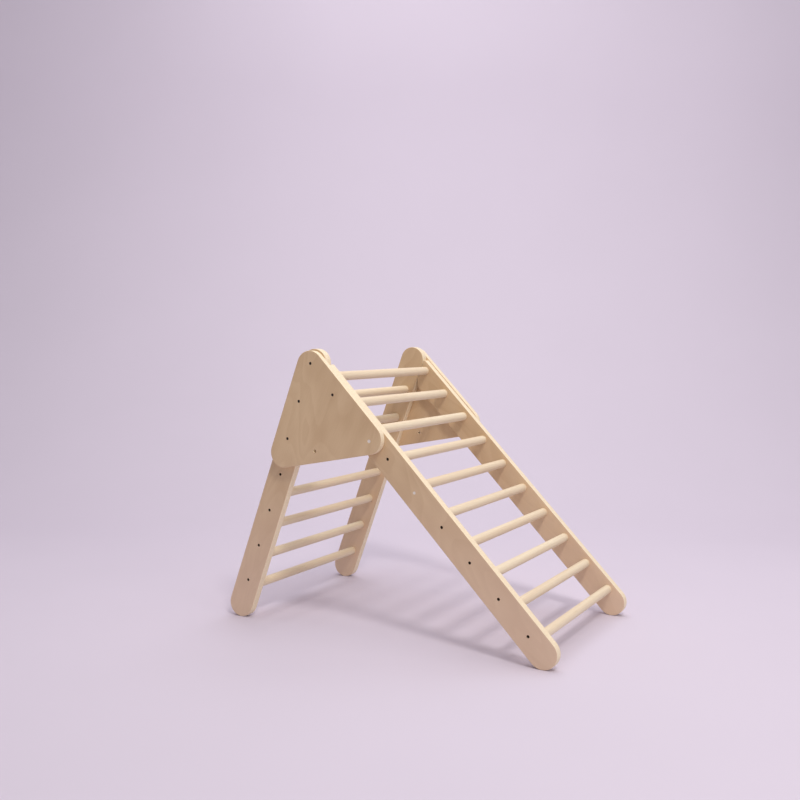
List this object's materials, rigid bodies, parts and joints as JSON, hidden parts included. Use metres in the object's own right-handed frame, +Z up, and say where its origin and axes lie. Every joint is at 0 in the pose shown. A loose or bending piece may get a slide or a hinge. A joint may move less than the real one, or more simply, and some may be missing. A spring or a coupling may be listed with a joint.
{
  "type": "folding climbing frame",
  "caption": "Wooden folding climbing triangle for small children: two rung ladders joined by rounded triangular side plates, the longer ladder swinging on bolts.",
  "frame": {"origin": "on the floor under the middle of the standing frame, halfway between its two sides", "axes": "+Z up, +X towards the long ladder's feet, Y along the rungs"},
  "size_m": [1.0932, 0.68, 0.8475],
  "materials": {
    "plate_ply": "clear matt lacquer on birch plywood",
    "short_rail_ply": "clear matt lacquer on birch plywood",
    "long_rail_ply": "clear matt lacquer on birch plywood",
    "rung_wood": "sanded beech dowel, clear matt lacquer",
    "dark_screws": "blackened",
    "dark_bolts": "blackened",
    "pin_pale": "off-white",
    "plug_wood": "sanded dowel plug"
  },
  "bodies": {
    "stand": {"plate_front": "plate_ply", "plate_back": "plate_ply", "short_rail_front": "short_rail_ply", "short_rail_back": "short_rail_ply", "short_rung_01": "rung_wood", "short_rung_02": "rung_wood", "short_rung_03": "rung_wood", "short_rung_04": "rung_wood", "short_rung_05": "rung_wood", "short_rung_06": "rung_wood", "short_rung_07": "rung_wood", "plate_screws": "dark_screws", "pivot_bolts": "dark_bolts", "lock_pins": "pin_pale"},
    "long_ladder": {"long_rail_front": "long_rail_ply", "long_rail_back": "long_rail_ply", "long_rung_01": "rung_wood", "long_rung_02": "rung_wood", "long_rung_03": "rung_wood", "long_rung_04": "rung_wood", "long_rung_05": "rung_wood", "long_rung_06": "rung_wood", "long_rung_07": "rung_wood", "long_rung_08": "rung_wood", "long_rung_09": "rung_wood", "long_rung_10": "rung_wood", "rail_plugs": "plug_wood"}
  },
  "joints": [
    {"name": "ladder_fold", "type": "hinge", "parent": "stand", "child": "long_ladder", "pos_m": [-0.15143, 0, 0.71426], "axis": [0, 1, 0], "range_deg": [0, 64.1]}
  ]
}
